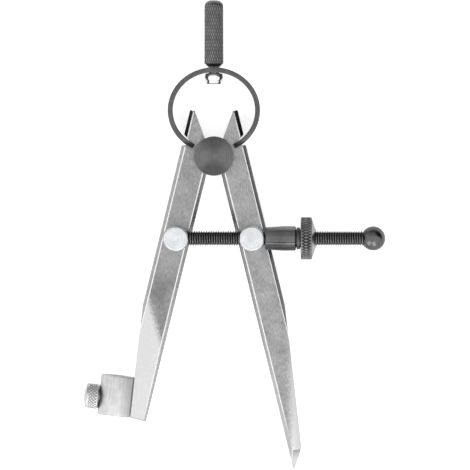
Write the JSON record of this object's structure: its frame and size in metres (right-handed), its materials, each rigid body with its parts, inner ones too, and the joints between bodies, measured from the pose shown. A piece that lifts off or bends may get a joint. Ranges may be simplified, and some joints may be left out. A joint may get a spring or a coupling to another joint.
{
  "type": "spring dividers",
  "caption": "Toolmaker's spring dividers: flat legs on a fulcrum roller under a bow spring, with an adjusting screw, a quick split nut and a pencil tube.",
  "frame": {"origin": "on the fulcrum's axis, at the rear face of the fulcrum roller, which is the surface the tool lies on", "axes": "+Y up the tool from the fulcrum to the handle, +X to the ball end of the adjusting screw, +Z out of the front face"},
  "size_m": [0.1248, 0.1942, 0.0237],
  "materials": {
    "leg_steel": "ground and drawn along the leg",
    "dark_steel": "dull grey, turned or knurled",
    "black_steel": "black oxide",
    "bright_plate": "bright turned plate",
    "chrome": "polished",
    "brushed_tube": "brushed"
  },
  "bodies": {
    "head": {"bow_spring": "dark_steel", "fulcrum_roller": "dark_steel", "handle": "dark_steel", "handle_screw": "chrome"},
    "left_leg": {"left_leg": "leg_steel", "pencil_tube": "brushed_tube"},
    "right_leg": {"right_leg": "leg_steel"},
    "screw": {"left_stud": "bright_plate", "left_stud_washer": "bright_plate", "left_stud_screw": "black_steel", "adjusting_screw": "black_steel", "screw_pin": "black_steel", "ball_knob": "black_steel"},
    "right_stud": {"right_stud": "bright_plate", "right_stud_washer": "bright_plate", "right_stud_screw": "black_steel"},
    "nut": {"nut_wheel": "dark_steel", "nut_jaw_upper": "dark_steel", "nut_jaw_lower": "dark_steel", "nut_jaw_ring": "black_steel"},
    "clamp_screw": {"clamp_screw": "bright_plate"}
  },
  "joints": [
    {"name": "right_leg_swing", "type": "hinge", "parent": "head", "child": "right_leg", "pos_m": [0, 0, 0.007], "axis": [0, 0, 1], "range_deg": [-13.5, 17.5], "deforming": ["bow_spring"]},
    {"name": "left_leg_swing", "type": "hinge", "parent": "head", "child": "left_leg", "pos_m": [0, 0, 0.007], "axis": [0, 0, -1], "range_deg": [-13.5, 17.5]},
    {"name": "left_stud_turn", "type": "hinge", "parent": "left_leg", "child": "screw", "pos_m": [-0.01569, -0.03395, 0.007], "axis": [0, 0, 1], "range_deg": [-13.5, 17.5]},
    {"name": "right_stud_turn", "type": "hinge", "parent": "right_leg", "child": "right_stud", "pos_m": [0.01569, -0.03395, 0.007], "axis": [0, 0, -1], "range_deg": [-13.5, 17.5]},
    {"name": "nut_spin", "type": "hinge", "parent": "right_stud", "child": "nut", "pos_m": [0.02109, -0.03395, 0.015], "axis": [1, 0, 0], "continuous": true},
    {"name": "clamp_screw_turn", "type": "hinge", "parent": "left_leg", "child": "clamp_screw", "pos_m": [-0.048, -0.09988, 0.007], "axis": [-0.9936, 0.1132, 0], "continuous": true}
  ],
  "couplings": [
    {"joint": "left_leg_swing", "follows": "right_leg_swing", "ratio": 1},
    {"joint": "left_stud_turn", "follows": "right_leg_swing", "ratio": 1},
    {"joint": "right_stud_turn", "follows": "right_leg_swing", "ratio": 1}
  ]
}
